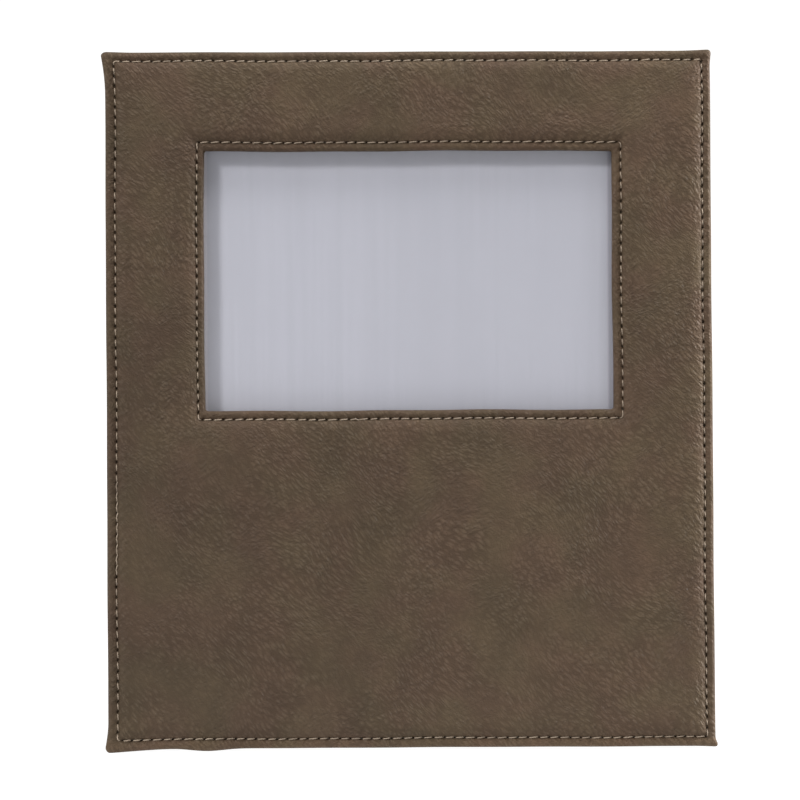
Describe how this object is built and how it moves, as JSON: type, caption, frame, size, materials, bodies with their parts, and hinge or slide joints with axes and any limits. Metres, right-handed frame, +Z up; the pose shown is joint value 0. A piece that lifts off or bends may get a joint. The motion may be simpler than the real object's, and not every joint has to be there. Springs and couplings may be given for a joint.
{
  "type": "leatherette photo frame",
  "caption": "Upright padded leatherette desk frame with stitched edges, a landscape window over a plain panel and a hinged easel leg.",
  "frame": {"origin": "on the surface that the frame stands on, under the middle of its footprint", "axes": "+X to the right seen from the front, +Y from the front towards the easel leg, +Z up"},
  "size_m": [0.211, 0.1256, 0.2367],
  "materials": {
    "leatherette": "semi-matt grained leatherette, mottled brown",
    "foam": "soft closed-cell foam sheet",
    "grey_board": "matt grey board",
    "thread": "twisted polyester sewing thread",
    "acrylic": "clear polished sheet",
    "insert_card": "smooth light grey card",
    "lining_paper": "matt dark brown lining paper",
    "hinge_metal": "satin nickel",
    "ribbon_cloth": "dark brown ribbed ribbon"
  },
  "bodies": {
    "frame": {"front_cover": "leatherette", "front_padding": "foam", "front_board": "grey_board", "outer_stitching": "thread", "window_stitching": "thread", "window_pane": "acrylic", "photo_insert": "insert_card", "spacer_frame": "grey_board", "back_lining": "lining_paper", "back_board": "grey_board", "back_cover": "leatherette", "stay_ribbon": "ribbon_cloth", "hinge_fixed_leaf": "hinge_metal", "hinge_pin": "hinge_metal", "hinge_fixed_rivet_left": "hinge_metal", "hinge_fixed_rivet_right": "hinge_metal", "ribbon_rivet_back": "hinge_metal"},
    "leg": {"leg_cover": "leatherette", "leg_board": "grey_board", "leg_lining": "lining_paper", "hinge_leg_leaf": "hinge_metal", "hinge_leg_rivet_left": "hinge_metal", "hinge_leg_rivet_right": "hinge_metal", "ribbon_rivet_leg": "hinge_metal"}
  },
  "joints": [
    {"name": "leg_hinge", "type": "hinge", "parent": "frame", "child": "leg", "pos_m": [0, -0.01571, 0.16015], "axis": [1, 0, 0], "range_deg": [-35, 0], "deforming": ["stay_ribbon"]}
  ]
}
